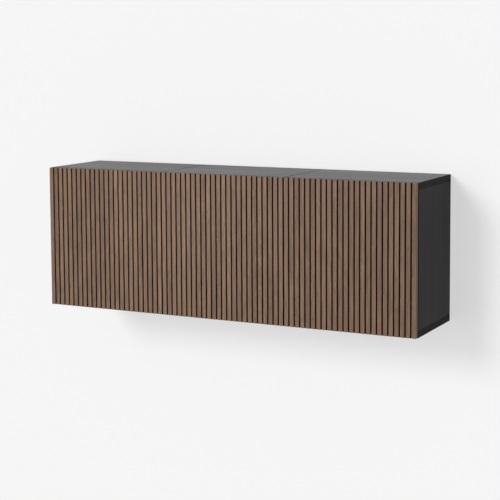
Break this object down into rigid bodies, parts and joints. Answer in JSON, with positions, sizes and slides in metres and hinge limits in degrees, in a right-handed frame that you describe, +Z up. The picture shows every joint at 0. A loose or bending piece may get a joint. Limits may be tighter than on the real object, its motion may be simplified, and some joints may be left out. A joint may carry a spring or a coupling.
{
  "type": "wall cabinet",
  "caption": "Wide wall cabinet with ribbed, handleless push-open doors on concealed hinges, in a dark carcass that hangs on wall rails.",
  "frame": {"origin": "centre of the back face of the middle wall rail, halfway along the cabinet, on the wall plane", "axes": "+X along the cabinet to the right as seen from the front, +Y into the wall, +Z up"},
  "size_m": [1.7998, 0.42, 0.64],
  "materials": {
    "carcass": "black-brown textured board",
    "door": "grey-brown walnut veneer, satin",
    "hinge_steel": "nickel-plated",
    "rail_steel": "zinc-plated",
    "latch_plastic": "fine grained"
  },
  "bodies": {
    "carcass": {"top_panel_left": "carcass", "bottom_panel_left": "carcass", "side_panel_left_l": "carcass", "side_panel_left_r": "carcass", "back_panel_left": "carcass", "shelf_left": "carcass", "wall_rail_left": "rail_steel", "hanger_left_l": "rail_steel", "hanger_left_r": "rail_steel", "latch_housing_left": "latch_plastic", "hinge_arm_left_lower": "hinge_steel", "hinge_arm_left_upper": "hinge_steel", "top_panel_centre": "carcass", "bottom_panel_centre": "carcass", "side_panel_centre_l": "carcass", "side_panel_centre_r": "carcass", "back_panel_centre": "carcass", "shelf_centre": "carcass", "wall_rail_centre": "rail_steel", "hanger_centre_l": "rail_steel", "hanger_centre_r": "rail_steel", "latch_housing_centre": "latch_plastic", "hinge_arm_centre_lower": "hinge_steel", "hinge_arm_centre_upper": "hinge_steel", "top_panel_right": "carcass", "bottom_panel_right": "carcass", "side_panel_right_l": "carcass", "side_panel_right_r": "carcass", "back_panel_right": "carcass", "shelf_right": "carcass", "wall_rail_right": "rail_steel", "hanger_right_l": "rail_steel", "hanger_right_r": "rail_steel", "latch_housing_right": "latch_plastic", "hinge_arm_right_lower": "hinge_steel", "hinge_arm_right_upper": "hinge_steel"},
    "left_door": {"door_left": "door", "hinge_cup_left_lower": "hinge_steel", "hinge_cup_left_upper": "hinge_steel"},
    "left_outer_links": {"hinge_outer_link_left_lower": "hinge_steel", "hinge_outer_link_left_upper": "hinge_steel"},
    "left_inner_links": {"hinge_inner_link_left_lower": "hinge_steel", "hinge_inner_link_left_upper": "hinge_steel"},
    "left_plunger": {"latch_plunger_left": "latch_plastic"},
    "centre_door": {"door_centre": "door", "hinge_cup_centre_lower": "hinge_steel", "hinge_cup_centre_upper": "hinge_steel"},
    "centre_outer_links": {"hinge_outer_link_centre_lower": "hinge_steel", "hinge_outer_link_centre_upper": "hinge_steel"},
    "centre_inner_links": {"hinge_inner_link_centre_lower": "hinge_steel", "hinge_inner_link_centre_upper": "hinge_steel"},
    "centre_plunger": {"latch_plunger_centre": "latch_plastic"},
    "right_door": {"door_right": "door", "hinge_cup_right_lower": "hinge_steel", "hinge_cup_right_upper": "hinge_steel"},
    "right_outer_links": {"hinge_outer_link_right_lower": "hinge_steel", "hinge_outer_link_right_upper": "hinge_steel"},
    "right_inner_links": {"hinge_inner_link_right_lower": "hinge_steel", "hinge_inner_link_right_upper": "hinge_steel"},
    "right_plunger": {"latch_plunger_right": "latch_plastic"}
  },
  "joints": [
    {"name": "left_outer_link_turn", "type": "hinge", "parent": "carcass", "child": "left_outer_links", "pos_m": [-0.8659, -0.38965, 0], "axis": [0, 0, 1], "range_deg": [0, 21.28]},
    {"name": "left_door_swing", "type": "hinge", "parent": "left_outer_links", "child": "left_door", "pos_m": [-0.88825, -0.40795, 0], "axis": [0, 0, -1], "range_deg": [0, 116.28]},
    {"name": "left_inner_link_turn", "type": "hinge", "parent": "carcass", "child": "left_inner_links", "pos_m": [-0.865, -0.4075, 0], "axis": [0, 0, 1], "range_deg": [0, 41.04]},
    {"name": "left_plunger_press", "type": "slide", "parent": "carcass", "child": "left_plunger", "axis": [0, 1, 0], "range_m": [0, 0.003], "stiffness_N_per_m": 400, "springref_m": -0.005},
    {"name": "centre_outer_link_turn", "type": "hinge", "parent": "carcass", "child": "centre_outer_links", "pos_m": [-0.2659, -0.38965, 0], "axis": [0, 0, 1], "range_deg": [0, 21.28]},
    {"name": "centre_door_swing", "type": "hinge", "parent": "centre_outer_links", "child": "centre_door", "pos_m": [-0.28825, -0.40795, 0], "axis": [0, 0, -1], "range_deg": [0, 116.28]},
    {"name": "centre_inner_link_turn", "type": "hinge", "parent": "carcass", "child": "centre_inner_links", "pos_m": [-0.265, -0.4075, 0], "axis": [0, 0, 1], "range_deg": [0, 41.04]},
    {"name": "centre_plunger_press", "type": "slide", "parent": "carcass", "child": "centre_plunger", "axis": [0, 1, 0], "range_m": [0, 0.003], "stiffness_N_per_m": 400, "springref_m": -0.005},
    {"name": "right_outer_link_turn", "type": "hinge", "parent": "carcass", "child": "right_outer_links", "pos_m": [0.8659, -0.38965, 0], "axis": [0, 0, -1], "range_deg": [0, 21.28]},
    {"name": "right_door_swing", "type": "hinge", "parent": "right_outer_links", "child": "right_door", "pos_m": [0.88825, -0.40795, 0], "axis": [0, 0, 1], "range_deg": [0, 116.28]},
    {"name": "right_inner_link_turn", "type": "hinge", "parent": "carcass", "child": "right_inner_links", "pos_m": [0.865, -0.4075, 0], "axis": [0, 0, -1], "range_deg": [0, 41.04]},
    {"name": "right_plunger_press", "type": "slide", "parent": "carcass", "child": "right_plunger", "axis": [0, 1, 0], "range_m": [0, 0.003], "stiffness_N_per_m": 400, "springref_m": -0.005}
  ],
  "couplings": [
    {"joint": "left_outer_link_turn", "follows": "left_door_swing", "ratio": 0.18301},
    {"joint": "left_inner_link_turn", "follows": "left_door_swing", "ratio": 0.35294},
    {"joint": "centre_outer_link_turn", "follows": "centre_door_swing", "ratio": 0.18301},
    {"joint": "centre_inner_link_turn", "follows": "centre_door_swing", "ratio": 0.35294},
    {"joint": "right_outer_link_turn", "follows": "right_door_swing", "ratio": 0.18301},
    {"joint": "right_inner_link_turn", "follows": "right_door_swing", "ratio": 0.35294}
  ]
}
